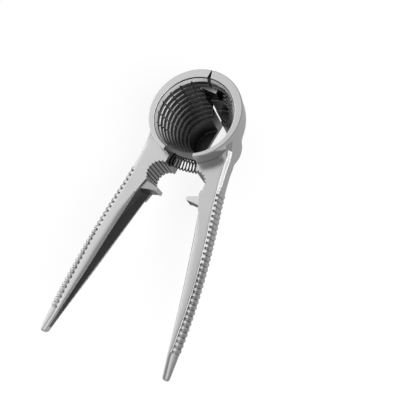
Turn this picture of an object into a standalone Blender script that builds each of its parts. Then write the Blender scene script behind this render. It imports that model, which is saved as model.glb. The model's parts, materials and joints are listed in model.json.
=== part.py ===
"""Nutcracker pliers: two cast halves of a stepped cup with handles, hinged on a pin, sprung open.

Metres, +Z up. The cup's axis is vertical with its mouth up, the handles point to -Y, and the
part is symmetric about X = 0 at rest, where it stands open. The origin lies under the middle
of the whole part, on the plane of the cup's flat underside.
"""
import math

import bmesh
import bpy
from mathutils import Matrix, Vector

MM = 0.001

# Cup, measured from its axis and down from its rim
CUP_HEIGHT = 51.5 * MM
RIM_RADIUS = 26.8 * MM
RIM_DEPTH = 3.0 * MM
RIM_ROUNDING = 0.6 * MM
RIM_OVERHANG = 0.5 * MM
SIDE_DEPTH = 10.0 * MM
BASE_RADIUS = 16.0 * MM
BASE_DEPTH = 45.0 * MM
BASE_CHAMFER = 0.8 * MM
FLOOR_THICKNESS = 2.5 * MM

# Stepped inside of the cup
MOUTH_RADIUS = 23.0 * MM
MOUTH_OFFSET = 1.5 * MM
WELL_OFFSET = 0.6 * MM
MOUTH_CHAMFER_DEPTH = 2.4 * MM
STEP_TOP_DEPTH = 3.2 * MM
STEP_TOP_RADIUS = 22.0 * MM
STEP_BOTTOM_DEPTH = 34.2 * MM
STEP_BULGE = 0.9 * MM
STEP_COUNT = 9
STEP_DRAFT = 0.2 * MM
WELL_RADIUS = 12.3 * MM
WELL_DRAFT = 0.3 * MM

# Grooves that run down the steps and cut them into blocks
GROOVE_COUNT = 6
GROOVE_FIRST_ANGLE = math.radians(-24.5)
GROOVE_SPACING = math.radians(17.4)
GROOVE_WIDTH = 0.9 * MM
GROOVE_DEPTH = 0.8 * MM

# Split between the halves, and the hinge behind the cup
HALF_OPENING = math.radians(9.4)
SPLIT_APEX_REACH = 28.0 * MM
PIVOT_REACH = 25.0 * MM
PIN_RADIUS = 1.5 * MM
PIN_HEAD_RADIUS = 2.4 * MM
PIN_HEAD_HEIGHT = 0.9 * MM
PIN_CAP = 1.4 * MM
KNUCKLE_RADIUS = 3.6 * MM
CLEARANCE = 0.3 * MM
UPPER_EAR_TOP = 4.2 * MM
TONGUE_TOP = 8.7 * MM
TONGUE_HEIGHT = 9.5 * MM
TONGUE_FACE_REACH = 7.0 * MM
TONGUE_SIDE_REACH = 5.5 * MM
TONGUE_TAIL = 3.4 * MM
POCKET_RADIUS = 10.4 * MM
POCKET_SKIN_ANGLE = math.radians(12)
LOWER_EAR_RISE = 2.5 * MM
EAR_FACE_REACH = 8.0 * MM
EAR_SIDE_REACH = 7.6 * MM
EAR_FLAT_BOTTOM = 31.0 * MM
EAR_SWEEP_RADIUS = 9.5 * MM
EAR_SWEEP = math.radians(25.2)
EAR_SWEEP_REST = math.radians(11.5)

# Handles
FRONT_DEPTH = 10.0 * MM
HANDLE_ROOT = 46.0 * MM
HANDLE_END = 139.0 * MM
INNER_EDGE_ROOT = 18.9 * MM
INNER_EDGE_END = 35.6 * MM
INNER_EDGE_BOW = 1.2 * MM
OUTER_EDGE_ROOT = 29.6 * MM
OUTER_EDGE_END = 39.3 * MM
OUTER_EDGE_BOW = 2.5 * MM
FRONT_RISE = 1.5 * MM
THICKNESS_ROOT = 18.6 * MM
THICKNESS_END = 4.2 * MM
THICKNESS_BOW = 2.6 * MM
WIDEST_SHARE = 0.36
BACK_SLOPE = 0.45
FRONT_SETBACK = 1.5 * MM
SIDE_ROOT = 3.2 * MM
SIDE_END = 4.6 * MM
SIDE_SHARE = 0.72
COVE_WIDTH = 1.6 * MM
COVE_DEPTH = 1.0 * MM
TIP_NOSE = 1.6 * MM

# Shoulder, where the handle's outer side runs into the side of the cup
SHOULDER_START = 4.0 * MM
SHOULDER_TURN = 7.0 * MM
SHOULDER_END = 19.0 * MM
SHOULDER_TOP = 4.4 * MM
SHOULDER_OUTER = 26.9 * MM
SHOULDER_RUN = 20.0 * MM
SHOULDER_THINNING = 0.7

# Grip ribs across the outer side of each handle
RIB_START = 36.5 * MM
RIB_PITCH = 2.95 * MM
RIB_COUNT = 30
RIB_HEIGHT = 0.45 * MM

# Channel in the inner side of each handle
CHANNEL_START = 45.5 * MM
CHANNEL_END_MARGIN = 3.4 * MM
CHANNEL_PLATE = 1.4 * MM
CHANNEL_PLATE_SHARE = 0.2
CHANNEL_WEB = 0.9 * MM
CHANNEL_END_RADIUS = 3.5 * MM

# Small jaw and lug between the cup and the channel
JAW_CENTRE_X = 10.3 * MM
JAW_CENTRE_REACH = 36.3 * MM
JAW_RADIUS = 7.1 * MM
JAW_FROM_ANGLE = math.radians(98)
JAW_TO_ANGLE = math.radians(-36)
JAW_RIB_COUNT = 8
JAW_GROOVE_DEPTH = 0.7 * MM
LUG_TIP_X = 9.0 * MM
LUG_TIP_REACH = 44.6 * MM
LUG_TIP_LENGTH = 1.8 * MM
LUG_TIP_DEPTH = 17.8 * MM
LUG_TIP_HEIGHT = 8.0 * MM
LUG_BASE_FROM = 40.6 * MM
LUG_BASE_TO = 50.4 * MM
LUG_BASE_MARGIN = 1.2 * MM

# Spring between the halves, and the blind pockets that hold its ends
SPRING_REACH = 25.6 * MM
SPRING_DEPTH = 16.4 * MM
SPRING_RADIUS = 3.4 * MM
SPRING_WIRE_RADIUS = 0.42 * MM
SPRING_PITCH = 1.85 * MM
SPRING_POINTS_PER_TURN = 9
POCKET_BORE_RADIUS = 4.2 * MM
POCKET_BORE_DEPTH = 6.2 * MM

ROUND_SEGMENTS = 72
KNUCKLE_SEGMENTS = 32
SAMPLES = 8
BIG = 80 * MM

LOWER_EAR_BOTTOM = CUP_HEIGHT - LOWER_EAR_RISE
BARREL_END = PIVOT_REACH + KNUCKLE_RADIUS
CUP_Y = (HANDLE_END - BARREL_END) / 2
PIVOT_Y = CUP_Y + PIVOT_REACH


def height(depth):
    """World height of a level given as a depth below the rim."""
    return CUP_HEIGHT - depth


def reach(distance):
    """World Y of a place given as its distance from the cup's axis toward the handle ends."""
    return CUP_Y - distance


def mix(first, last, share):
    return first + (last - first) * share


# Building blocks

def clear_scene():
    for thing in list(bpy.data.objects):
        bpy.data.objects.remove(thing, do_unlink=True)


def material(name, colour, roughness, metallic=1.0):
    made = bpy.data.materials.new(name)
    made.use_nodes = True
    shader = made.node_tree.nodes["Principled BSDF"]
    shader.inputs["Base Color"].default_value = (*colour, 1.0)
    shader.inputs["Roughness"].default_value = roughness
    shader.inputs["Metallic"].default_value = metallic
    return made


def object_from(mesh_data, name):
    bmesh.ops.recalc_face_normals(mesh_data, faces=mesh_data.faces)
    mesh = bpy.data.meshes.new(name)
    mesh_data.to_mesh(mesh)
    mesh_data.free()
    made = bpy.data.objects.new(name, mesh)
    bpy.context.scene.collection.objects.link(made)
    return made


def skin(sections, name):
    """Closed solid through rings of equal point counts, with flat ends."""
    mesh_data = bmesh.new()
    rings = [[mesh_data.verts.new(point) for point in section] for section in sections]
    count = len(rings[0])
    for lower, upper in zip(rings, rings[1:]):
        for index in range(count):
            after = (index + 1) % count
            mesh_data.faces.new((lower[index], lower[after], upper[after], upper[index]))
    mesh_data.faces.new(rings[0])
    mesh_data.faces.new(rings[-1])
    return object_from(mesh_data, name)


def turned(profile, centre, name, segments=ROUND_SEGMENTS):
    """Solid of revolution about a vertical axis; centre gives the axis' X and Y at each height."""
    mesh_data = bmesh.new()
    rings = []
    for radius, level in profile:
        axis_x, axis_y = centre(level)
        if radius == 0:
            rings.append([mesh_data.verts.new((axis_x, axis_y, level))])
            continue
        ring = []
        for index in range(segments):
            angle = 2 * math.pi * (index + 0.5) / segments
            place = (axis_x + radius * math.cos(angle), axis_y + radius * math.sin(angle), level)
            ring.append(mesh_data.verts.new(place))
        rings.append(ring)
    for lower, upper in zip(rings, rings[1:]):
        for index in range(segments):
            after = (index + 1) % segments
            if len(lower) == 1:
                mesh_data.faces.new((lower[0], upper[after], upper[index]))
            elif len(upper) == 1:
                mesh_data.faces.new((lower[index], lower[after], upper[0]))
            else:
                mesh_data.faces.new((lower[index], lower[after], upper[after], upper[index]))
    return object_from(mesh_data, name)


def round_bar(x, y, radius, low, high, name, segments=KNUCKLE_SEGMENTS):
    profile = ((0, low), (radius, low), (radius, high), (0, high))
    return turned(profile, lambda level: (x, y), name, segments)


def slab(outline, low, high, name):
    """Solid with a level outline, given as X and Y pairs, between two heights."""
    return skin([[(x, y, low) for x, y in outline], [(x, y, high) for x, y in outline]], name)


def combine(body, tool, operation, keep_tool=False):
    """Apply one exact union, cut or common part to body."""
    modifier = body.modifiers.new(operation, "BOOLEAN")
    modifier.operation = operation
    modifier.object = tool
    modifier.solver = "EXACT"
    graph = bpy.context.evaluated_depsgraph_get()
    result = bpy.data.meshes.new_from_object(body.evaluated_get(graph))
    body.modifiers.clear()
    body.data = result
    if not keep_tool:
        bpy.data.objects.remove(tool, do_unlink=True)
    return body


def mirrored(source, name):
    """Copy of a solid, mirrored about X = 0."""
    mesh_data = bmesh.new()
    mesh_data.from_mesh(source.data)
    bmesh.ops.transform(mesh_data, matrix=Matrix.Scale(-1, 4, (1, 0, 0)), verts=mesh_data.verts)
    bmesh.ops.reverse_faces(mesh_data, faces=mesh_data.faces)
    return object_from(mesh_data, name)


# Cup

def curve_points(start, start_pull, end_pull, end, count):
    """Points of a smooth cubic curve between two places."""
    points = []
    for index in range(count + 1):
        t = index / count
        weights = ((1 - t) ** 3, 3 * t * (1 - t) ** 2, 3 * t * t * (1 - t), t ** 3)
        parts = (start, start_pull, end_pull, end)
        points.append(tuple(sum(w * part[axis] for w, part in zip(weights, parts)) for axis in (0, 1)))
    return points


def cup_envelope():
    """Full outer form of the cup, before its inside is cut."""
    side_radius = RIM_RADIUS - RIM_OVERHANG
    swell = (BASE_DEPTH - SIDE_DEPTH) * 0.34
    side = curve_points((side_radius, SIDE_DEPTH), (side_radius, SIDE_DEPTH + swell),
                        (BASE_RADIUS, BASE_DEPTH - swell), (BASE_RADIUS, BASE_DEPTH), SAMPLES)
    profile = [
        (0, 0),
        (RIM_RADIUS - RIM_ROUNDING, 0),
        (RIM_RADIUS, RIM_ROUNDING),
        (RIM_RADIUS, RIM_DEPTH),
        (side_radius, RIM_DEPTH + RIM_OVERHANG),
        *side,
        (BASE_RADIUS, CUP_HEIGHT - BASE_CHAMFER),
        (BASE_RADIUS - BASE_CHAMFER, CUP_HEIGHT),
        (0, CUP_HEIGHT),
    ]
    levels = [(radius, height(depth)) for radius, depth in profile]
    return turned(levels, lambda level: (0, CUP_Y), "cup_envelope")


def inside_centre(level):
    """The inside's axis stands nearer the handles at the mouth than in the well."""
    share = min(max((CUP_HEIGHT - level) / CUP_HEIGHT, 0), 1)
    return 0, reach(mix(MOUTH_OFFSET, WELL_OFFSET, share))


def step_radius(index):
    """Radius of a step's riser, counted down from the mouth; the last one is the well's."""
    share = index / STEP_COUNT
    bulge = STEP_BULGE * 4 * share * (1 - share)
    return mix(STEP_TOP_RADIUS, WELL_RADIUS, share) + bulge


def step_depth(index):
    return mix(STEP_TOP_DEPTH, STEP_BOTTOM_DEPTH, index / STEP_COUNT)


def cup_inside():
    floor_depth = CUP_HEIGHT - FLOOR_THICKNESS
    above = MM
    profile = [
        (0, -above),
        (MOUTH_RADIUS, -above),
        (MOUTH_RADIUS, MOUTH_CHAMFER_DEPTH / 4),
        (STEP_TOP_RADIUS + STEP_DRAFT, MOUTH_CHAMFER_DEPTH),
        (STEP_TOP_RADIUS, STEP_TOP_DEPTH),
    ]
    for index in range(STEP_COUNT):
        riser_foot = step_radius(index) - STEP_DRAFT * min(index, 1)
        if index:
            profile.append((step_radius(index), step_depth(index)))
        profile.append((riser_foot - STEP_DRAFT / 2, step_depth(index + 1)))
    profile.append((WELL_RADIUS, STEP_BOTTOM_DEPTH))
    profile.append((WELL_RADIUS - WELL_DRAFT, floor_depth))
    profile.append((0, floor_depth))
    levels = [(radius, height(depth)) for radius, depth in profile]
    return turned(levels, inside_centre, "cup_inside")


def step_groove(angle):
    """Cutter for one groove down the steps, in an upright plane through the inside's axis."""
    outline = []
    for index in range(STEP_COUNT + 1):
        share = index / STEP_COUNT
        depth = mix(STEP_TOP_DEPTH, STEP_BOTTOM_DEPTH, share)
        outline.append((step_radius(index) + GROOVE_DEPTH * (1 - share), depth))
    inner = WELL_RADIUS / 2
    outline.append((inner, STEP_BOTTOM_DEPTH))
    outline.append((inner, STEP_TOP_DEPTH))
    direction = Vector((math.cos(angle), math.sin(angle)))
    across = Vector((-direction.y, direction.x)) * GROOVE_WIDTH / 2
    sides = []
    for offset in (across, -across):
        side = []
        for radius, depth in outline:
            level = height(depth)
            centre = Vector(inside_centre(level))
            place = centre + direction * radius + offset
            side.append((place.x, place.y, level))
        sides.append(side)
    return skin(sides, "step_groove")


def split_keeper():
    """Everything on the right half's side of its split face."""
    apex = Vector((0, CUP_Y + SPLIT_APEX_REACH))
    run = Vector((math.sin(HALF_OPENING), -math.cos(HALF_OPENING)))
    near = apex + run * 2.5 * HANDLE_END
    back = apex + Vector((0, BIG))
    outline = [tuple(apex), tuple(near), (near.x + BIG, near.y), (BIG * 2, back.y), tuple(back)]
    return slab(outline, -BIG, CUP_HEIGHT + BIG, "split_keeper")


# Handle

def handle_share(distance):
    return min(max((distance - HANDLE_ROOT) / (HANDLE_END - HANDLE_ROOT), 0), 1)


def inner_edge(distance):
    share = handle_share(distance)
    return mix(INNER_EDGE_ROOT, INNER_EDGE_END, share) - INNER_EDGE_BOW * 4 * share * (1 - share)


def setback(distance):
    """How far the front face's inner edge lies outside the back's."""
    share = handle_share(distance)
    return FRONT_SETBACK * 4 * share * (1 - share)


def ease(value, start, end):
    """0 before start, 1 after end, and a smooth way between them."""
    share = min(max((value - start) / (end - start), 0), 1)
    return share * share * (3 - 2 * share)


def cup_side(distance):
    """X of the cup's side, level with a place on the shoulder."""
    return math.sqrt(max((RIM_RADIUS - RIM_OVERHANG) ** 2 - distance ** 2, 0))


def outer_edge(distance):
    if distance < SHOULDER_RUN:
        start = cup_side(distance) - 4 * RIM_OVERHANG
        return mix(start, SHOULDER_OUTER, ease(distance, -2 * SHOULDER_START, 2 * SHOULDER_START))
    if distance < HANDLE_ROOT:
        share = (distance - SHOULDER_RUN) / (HANDLE_ROOT - SHOULDER_RUN)
        return mix(SHOULDER_OUTER, OUTER_EDGE_ROOT, share ** 1.5)
    share = handle_share(distance)
    return mix(OUTER_EDGE_ROOT, OUTER_EDGE_END, share) + OUTER_EDGE_BOW * 4 * share * (1 - share)


def side_width(distance):
    width = mix(SIDE_ROOT, SIDE_END, handle_share(distance))
    return min(width, SIDE_SHARE * (outer_edge(distance) - inner_edge(distance)))


def front_depth(distance):
    return FRONT_DEPTH - FRONT_RISE * ease(distance, 0.65 * HANDLE_END, HANDLE_END)


def thickness(distance):
    share = handle_share(distance)
    full = mix(THICKNESS_ROOT, THICKNESS_END, share) - THICKNESS_BOW * 4 * share * (1 - share)
    return full * mix(SHOULDER_THINNING, 1, ease(distance, -SHOULDER_START, SHOULDER_RUN))


def shoulder_front(distance, widest):
    """Front of a section where the shoulder still lies against the cup's side."""
    outer = outer_edge(distance)
    side = min(cup_side(distance), outer) - 2 * RIM_OVERHANG
    places = [(inner_edge(distance), SHOULDER_TOP), (side, SHOULDER_TOP)]
    for degrees in (15, 32, 50, 70, 90):
        angle = math.radians(degrees)
        depth = mix(SHOULDER_TOP, widest, 1 - math.cos(angle))
        places.append((mix(side, outer, math.sin(angle)), depth))
    return places


def handle_section(distance, rib=0.0, nose=1.0):
    """Outline across the handle: flat face, cove, rounded outer side, and a back that tapers in."""
    deep = thickness(distance)
    front = front_depth(distance) + deep * (1 - nose) / 2
    deep *= nose
    inner, outer = inner_edge(distance), outer_edge(distance)
    centre = (inner + outer) / 2
    inner, outer = mix(centre, inner, nose), mix(centre, outer, nose)
    side = side_width(distance) * nose
    face = outer - side
    cove = min(COVE_WIDTH, side * 0.5)
    bead = side - cove
    low = min(COVE_DEPTH, deep * 0.14)
    filled = rib / RIB_HEIGHT
    widest = front + deep * WIDEST_SHARE
    lip = front + low * (0.72 - 0.35 * filled)
    places = [
        (inner + setback(distance) * nose, front),
        (face, front),
        (face + cove * 0.45, front + low * (1 - 0.4 * filled)),
        (face + cove, lip),
        (face + cove + bead * 0.5 + rib * 0.6, mix(lip, widest, 0.134) - rib * 0.5),
        (face + cove + bead * 0.87 + rib, mix(lip, widest, 0.5) - rib * 0.2),
        (outer + rib, widest),
    ]
    turned_in = ease(distance, SHOULDER_TURN, SHOULDER_END)
    mixed = []
    for near, far in zip(shoulder_front(distance, widest), places):
        mixed.append((mix(near[0], far[0], turned_in), mix(near[1], far[1], turned_in)))
    tapered = outer - BACK_SLOPE * (front + deep - widest)
    back_x = max(tapered, mix(inner, outer, 0.45))
    corner = min(MM, deep * 0.1)
    mixed.append((back_x, front + deep - corner))
    mixed.append((back_x - corner, front + deep))
    mixed.append((inner, front + deep))
    return [(x, reach(distance), height(depth)) for x, depth in mixed]


def handle_solid():
    sections = []
    root_count = 12
    for index in range(root_count):
        distance = mix(-SHOULDER_START, RIB_START, index / root_count)
        sections.append(handle_section(distance))
    for index in range(RIB_COUNT):
        start = RIB_START + index * RIB_PITCH
        for share, rib in ((0, 0), (0.3, RIB_HEIGHT), (0.62, RIB_HEIGHT), (0.86, 0)):
            sections.append(handle_section(start + share * RIB_PITCH, rib))
    rib_end = RIB_START + RIB_COUNT * RIB_PITCH
    nose_start = HANDLE_END - TIP_NOSE
    tail_count = 4
    for index in range(tail_count):
        sections.append(handle_section(mix(rib_end, nose_start, index / tail_count)))
    nose_count = 4
    for index in range(nose_count):
        angle = index / nose_count * math.pi / 2
        distance = nose_start + TIP_NOSE * math.sin(angle)
        sections.append(handle_section(distance, 0, math.cos(angle) ** 0.6))
    end_angle = math.radians(86)
    sections.append(handle_section(HANDLE_END, 0, math.cos(end_angle) ** 0.6))
    return skin(sections, "handle_solid")


def channel_section(distance, opening):
    plate = min(CHANNEL_PLATE, CHANNEL_PLATE_SHARE * thickness(distance))
    front = height(front_depth(distance) + plate)
    back = height(front_depth(distance) + thickness(distance) - plate)
    middle = (front + back) / 2
    half = (front - back) / 2 * opening
    outer = outer_edge(distance)
    far = outer - side_width(distance) - CHANNEL_WEB
    tapered = outer - BACK_SLOPE * thickness(distance) * (1 - WIDEST_SHARE)
    far_back = min(far, max(tapered, mix(inner_edge(distance), outer, 0.45)) - CHANNEL_WEB)
    near = inner_edge(distance) - LUG_TIP_X
    outline = [(near, middle + half), (far, middle + half), (far_back, middle - half), (near, middle - half)]
    return [(x, reach(distance), level) for x, level in outline]


def channel_cutter():
    end = HANDLE_END - CHANNEL_END_MARGIN
    sections = []
    round_count = 5
    for index in range(round_count + 1):
        share = index / round_count
        opening = 0.55 + 0.45 * math.sqrt(1 - (1 - share) ** 2)
        distance = CHANNEL_START + CHANNEL_END_RADIUS * share
        sections.append(channel_section(distance, opening))
    run_count = 10
    for index in range(1, run_count + 1):
        distance = mix(CHANNEL_START + CHANNEL_END_RADIUS, end, index / run_count)
        sections.append(channel_section(distance, 1.0))
    return skin(sections, "channel_cutter")


# Jaw

def jaw_outline():
    """Plan of the solid between the cup and the channel, with the ribbed hollow of the small jaw."""
    outline = [(0, reach(RIM_RADIUS * 0.6)), (0, reach(JAW_CENTRE_REACH - JAW_RADIUS))]
    span = (JAW_TO_ANGLE - JAW_FROM_ANGLE) / JAW_RIB_COUNT
    for index in range(JAW_RIB_COUNT):
        start = JAW_FROM_ANGLE + span * index
        for share, depth in ((0.0, 0), (0.35, 0), (0.7, 0), (0.78, JAW_GROOVE_DEPTH), (0.92, JAW_GROOVE_DEPTH)):
            angle = start + span * share
            radius = JAW_RADIUS + depth
            x = JAW_CENTRE_X + radius * math.cos(angle)
            outline.append((x, reach(JAW_CENTRE_REACH - radius * math.sin(angle))))
    x = JAW_CENTRE_X + JAW_RADIUS * math.cos(JAW_TO_ANGLE)
    outline.append((x, reach(JAW_CENTRE_REACH - JAW_RADIUS * math.sin(JAW_TO_ANGLE))))
    outline.append((inner_edge(LUG_BASE_TO), reach(LUG_BASE_TO)))
    for distance in (LUG_BASE_TO, RIM_RADIUS * 0.9, RIM_RADIUS * 0.6):
        outline.append((outer_edge(distance) - side_width(distance) - MM, reach(distance)))
    return outline


def jaw_block():
    top = height(FRONT_DEPTH)
    return slab(jaw_outline(), top - THICKNESS_ROOT, top, "jaw_block")


def lug():
    """Blunt pyramid that points across the gap, on the handle's inner side."""
    top = height(FRONT_DEPTH)
    middle = top - THICKNESS_ROOT / 2
    half_base = THICKNESS_ROOT / 2 - LUG_BASE_MARGIN
    base_x = INNER_EDGE_ROOT + 2 * LUG_BASE_MARGIN
    tip_level = height(LUG_TIP_DEPTH)
    half_tip = LUG_TIP_LENGTH / 2
    near, far = LUG_TIP_REACH - half_tip, LUG_TIP_REACH + half_tip
    half_height = LUG_TIP_HEIGHT / 2
    base = [(base_x, reach(LUG_BASE_FROM), middle + half_base), (base_x, reach(LUG_BASE_TO), middle + half_base),
            (base_x, reach(LUG_BASE_TO), middle - half_base), (base_x, reach(LUG_BASE_FROM), middle - half_base)]
    tip = [(LUG_TIP_X, reach(near), tip_level + half_height), (LUG_TIP_X, reach(far), tip_level + half_height),
           (LUG_TIP_X, reach(far), tip_level - half_height), (LUG_TIP_X, reach(near), tip_level - half_height)]
    return skin([base, tip], "lug")


def spring_arc_radius():
    """The spring bows about the split's apex, so that it meets both split faces squarely."""
    return SPRING_REACH + SPLIT_APEX_REACH


def spring_place(angle, along=0.0, out=0.0, up=0.0):
    """Place near the spring's axis: angle from the middle plane, then shifts along, out and up."""
    radius = spring_arc_radius() + out
    x = radius * math.sin(angle) + along * math.cos(angle)
    y = reach(-SPLIT_APEX_REACH) - radius * math.cos(angle) + along * math.sin(angle)
    return Vector((x, y, height(SPRING_DEPTH) + up))


def spring_pocket():
    """Cutter for the blind pocket, square to the split face, that holds one end of the spring."""
    sections = []
    for along in (-2 * POCKET_BORE_DEPTH / 3, POCKET_BORE_DEPTH):
        ring = []
        for index in range(KNUCKLE_SEGMENTS):
            angle = 2 * math.pi * index / KNUCKLE_SEGMENTS
            out, up = POCKET_BORE_RADIUS * math.cos(angle), POCKET_BORE_RADIUS * math.sin(angle)
            ring.append(spring_place(HALF_OPENING, along, out, up))
        sections.append(ring)
    return skin(sections, "spring_pocket")


# Halves

def plain_half(name):
    """Full right side of the cup with its handle and jaw, before the halves are split apart."""
    body = cup_envelope()
    body.name = name
    combine(body, handle_solid(), "UNION")
    combine(body, jaw_block(), "UNION")
    combine(body, cup_inside(), "DIFFERENCE")
    for index in range(GROOVE_COUNT):
        angle = GROOVE_FIRST_ANGLE + index * GROOVE_SPACING
        combine(body, step_groove(angle), "DIFFERENCE")
    return body


def sided(piece, side):
    """The piece as it is for the right half, or its mirror image for the left half."""
    if side > 0:
        return piece
    flipped = mirrored(piece, piece.name)
    bpy.data.objects.remove(piece, do_unlink=True)
    return flipped


def split(body, side):
    """Cut one half along the wedge, then give it its lug, its channel and the spring's pocket."""
    combine(body, sided(split_keeper(), side), "INTERSECT")
    combine(body, sided(lug(), side), "UNION")
    combine(body, sided(channel_cutter(), side), "DIFFERENCE")
    combine(body, sided(spring_pocket(), side), "DIFFERENCE")


def knuckle(low_depth, high_depth, radius, name):
    return round_bar(0, PIVOT_Y, radius, height(low_depth), height(high_depth), name)


def closed_place(x, y, side):
    """World place of a point given from the pivot as it stands with the halves closed."""
    angle = side * HALF_OPENING
    apex = SPLIT_APEX_REACH - PIVOT_REACH
    away = y - apex
    return (x * math.cos(angle) - away * math.sin(angle),
            PIVOT_Y + apex + x * math.sin(angle) + away * math.cos(angle))


def closed_slab(points, low_depth, high_depth, side, name):
    return slab([closed_place(x, y, side) for x, y in points], height(low_depth), height(high_depth), name)


def arc(radius, start, end, count):
    """Plan points on a circle about the pivot, both ends included."""
    points = []
    for index in range(count + 1):
        angle = mix(start, end, index / count)
        points.append((radius * math.cos(angle), PIVOT_Y + radius * math.sin(angle)))
    return points


def add_tongue(body):
    """The left half's knuckle, which crosses the split under the right half's upper ear."""
    tongue_foot = TONGUE_TOP + TONGUE_HEIGHT
    below = CUP_HEIGHT + MM
    room = knuckle(below, UPPER_EAR_TOP - CLEARANCE, KNUCKLE_RADIUS + CLEARANCE, "room")
    combine(body, room, "DIFFERENCE")
    turn_end = -math.pi / 2 - HALF_OPENING - EAR_SWEEP
    sweep = arc(EAR_SWEEP_RADIUS, turn_end, -math.pi / 2, 6)
    sweep += arc(KNUCKLE_RADIUS, -math.pi / 2 + EAR_SWEEP_REST, turn_end - EAR_SWEEP_REST + 2 * math.pi, 24)
    combine(body, slab(sweep, height(below), height(tongue_foot), "sweep"), "DIFFERENCE")
    front = -TONGUE_FACE_REACH
    outline = [(-TONGUE_TAIL * 1.5, front - MM), (TONGUE_SIDE_REACH, front - MM),
               (TONGUE_SIDE_REACH, -TONGUE_SIDE_REACH)]
    round_count = 12
    for index in range(round_count + 1):
        angle = math.pi * index / round_count
        outline.append((KNUCKLE_RADIUS * math.cos(angle), KNUCKLE_RADIUS * math.sin(angle)))
    outline.append((-TONGUE_TAIL * 1.5, 0))
    combine(body, closed_slab(outline, tongue_foot - CLEARANCE, TONGUE_TOP, -1, "tongue"), "UNION")
    flat = [(-TONGUE_TAIL, front), (-TONGUE_TAIL * 0.4, 2.4 * front), (2 * TONGUE_SIDE_REACH, 2.4 * front),
            (2 * TONGUE_SIDE_REACH, front)]
    combine(body, closed_slab(flat, tongue_foot + CLEARANCE, TONGUE_TOP - CLEARANCE, -1, "flat"), "DIFFERENCE")


def ear_block():
    """Block that closes the split behind the cup; its flat front carries the lower ear."""
    slope = math.tan(HALF_OPENING)
    gap = CLEARANCE / math.cos(HALF_OPENING)
    apex_y = CUP_Y + SPLIT_APEX_REACH
    front = -EAR_FACE_REACH - CLEARANCE
    back_y = PIVOT_Y - KNUCKLE_RADIUS / 2
    middle_x, middle_y = closed_place(0, front, 1)
    left_y = (middle_y - slope * (middle_x + slope * apex_y - gap)) / (1 - slope * slope)
    outline = [
        closed_place(EAR_SIDE_REACH, front, 1),
        closed_place(EAR_SIDE_REACH, -KNUCKLE_RADIUS, 1),
        (gap - slope * (apex_y - back_y), back_y),
        (gap - slope * (apex_y - left_y), left_y),
    ]
    return slab(outline, height(LOWER_EAR_BOTTOM), height(TONGUE_TOP + TONGUE_HEIGHT), "ear_block")


def add_ears(body):
    """The right half's two knuckles, with the pocket between them that the tongue turns in."""
    top, bottom = TONGUE_TOP - CLEARANCE, TONGUE_TOP + TONGUE_HEIGHT
    front = -EAR_FACE_REACH
    combine(body, ear_block(), "UNION")
    flat = [(-EAR_SIDE_REACH, 2.2 * front), (EAR_SIDE_REACH * 0.9, 2.2 * front), (EAR_SIDE_REACH, front),
            (-EAR_SIDE_REACH, front)]
    combine(body, closed_slab(flat, EAR_FLAT_BOTTOM, bottom - 2 * CLEARANCE, 1, "flat"), "DIFFERENCE")
    combine(body, knuckle(LOWER_EAR_BOTTOM - CLEARANCE, UPPER_EAR_TOP, KNUCKLE_RADIUS, "ears"), "UNION")
    pocket = arc(POCKET_RADIUS, -math.pi + POCKET_SKIN_ANGLE, -POCKET_SKIN_ANGLE, 14)
    pocket += arc(KNUCKLE_RADIUS + CLEARANCE, 0, math.pi, 16)
    combine(body, slab(pocket, height(bottom), height(top), "pocket"), "DIFFERENCE")


def bore(body):
    """Blind pin hole, open at the underside of the lower ear."""
    blind_top = UPPER_EAR_TOP + PIN_CAP
    hole = knuckle(LOWER_EAR_BOTTOM + CUP_HEIGHT, blind_top, PIN_RADIUS + CLEARANCE, "bore")
    combine(body, hole, "DIFFERENCE")


def place_on_pivot(body):
    """Move a body's origin to the pivot at the level of the cup's underside."""
    pivot = Vector((0, PIVOT_Y, 0))
    body.data.transform(Matrix.Translation(-pivot))
    body.location = pivot


def finish_body(body, made_of):
    body.data.materials.clear()
    body.data.materials.append(made_of)
    body.data.shade_smooth()
    body.data.set_sharp_from_angle(angle=math.radians(28))


def hinge_pin():
    top = height(UPPER_EAR_TOP + PIN_CAP + CLEARANCE)
    seat = height(LOWER_EAR_BOTTOM + CLEARANCE)
    chamfer = PIN_RADIUS / 4
    profile = ((0, seat - PIN_HEAD_HEIGHT), (PIN_HEAD_RADIUS - chamfer, seat - PIN_HEAD_HEIGHT),
               (PIN_HEAD_RADIUS, seat - PIN_HEAD_HEIGHT + chamfer), (PIN_HEAD_RADIUS, seat),
               (PIN_RADIUS, seat), (PIN_RADIUS, top - chamfer), (PIN_RADIUS - chamfer, top), (0, top))
    return turned(profile, lambda level: (0, PIVOT_Y), "hinge_pin", KNUCKLE_SEGMENTS)


def spring_points():
    """Helix along the bowed axis, straight inside the pockets, with straight ends."""
    bowed = spring_arc_radius() * HALF_OPENING
    straight = 2 * SPRING_WIRE_RADIUS
    half_coil = bowed + POCKET_BORE_DEPTH - CLEARANCE - straight
    turns = 2 * half_coil / SPRING_PITCH
    count = round(turns * SPRING_POINTS_PER_TURN)

    def place(run, out, up):
        angle = max(min(run / spring_arc_radius(), HALF_OPENING), -HALF_OPENING)
        return spring_place(angle, run - angle * spring_arc_radius(), out, up)

    points = []
    for index in range(count + 1):
        share = index / count
        angle = 2 * math.pi * turns * (share - 0.5) + math.pi / 2
        out, up = SPRING_RADIUS * math.cos(angle), SPRING_RADIUS * math.sin(angle)
        points.append(place(mix(-half_coil, half_coil, share), out, up))
        if index in (0, count):
            end = math.copysign(half_coil + straight, share - 0.5)
            points.insert(len(points) * (index > 0), place(end, out, up))
    return points


def least_gap(points, wire_radius, apart):
    """Least clear space between stretches of a wire that lie at least some points apart."""
    best = min((points[i] - points[j]).length
               for i in range(len(points)) for j in range(i + apart, min(i + 4 * apart, len(points))))
    return best - 2 * wire_radius


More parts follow.
